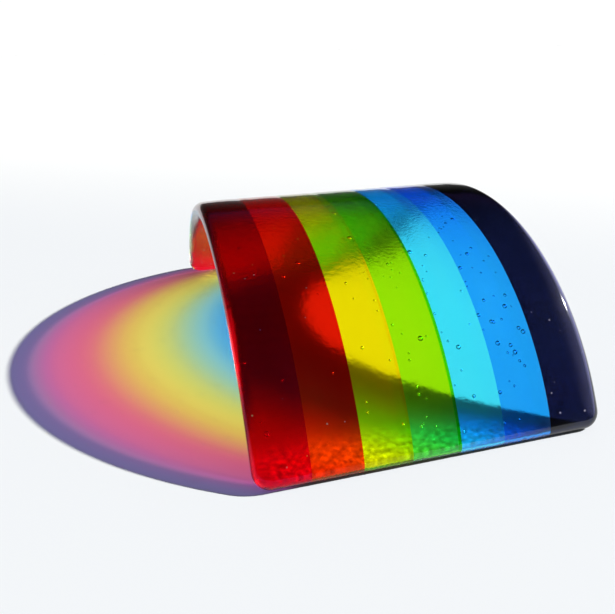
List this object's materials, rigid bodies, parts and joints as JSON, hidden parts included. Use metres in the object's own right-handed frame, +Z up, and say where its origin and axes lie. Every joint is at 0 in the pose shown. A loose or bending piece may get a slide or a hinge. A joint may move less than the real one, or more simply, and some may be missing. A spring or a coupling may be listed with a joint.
{
  "type": "fused glass rainbow arch",
  "caption": "Free-standing curved panel of fused glass: coloured transparent strips on a clear sheet, slumped into a low arch that stands on its two long edges.",
  "frame": {"origin": "on the ground, at the middle of the arch's footprint (bottom centre of the bounding box)", "axes": "+X along the tunnel from the red end to the violet end, +Y across the tunnel from foot to foot (the longest side), +Z up (the shortest side)"},
  "size_m": [0.1, 0.151, 0.0494],
  "materials": {
    "clear_glass": "clear fused glass, glossy, fire-polished",
    "red_glass": "transparent red fused glass, glossy, fire-polished",
    "orange_glass": "transparent orange fused glass, glossy, fire-polished",
    "yellow_glass": "transparent yellow fused glass, glossy, fire-polished",
    "green_glass": "transparent green fused glass, glossy, fire-polished",
    "turquoise_glass": "transparent turquoise fused glass, glossy, fire-polished",
    "blue_glass": "transparent blue fused glass, glossy, fire-polished",
    "violet_glass": "transparent violet fused glass, glossy, fire-polished"
  },
  "bodies": {
    "root": {"clear_base_sheet": "clear_glass", "red_strip": "red_glass", "orange_strip": "orange_glass", "yellow_strip": "yellow_glass", "green_strip": "green_glass", "turquoise_strip": "turquoise_glass", "blue_strip": "blue_glass", "violet_strip": "violet_glass"}
  },
  "joints": []
}
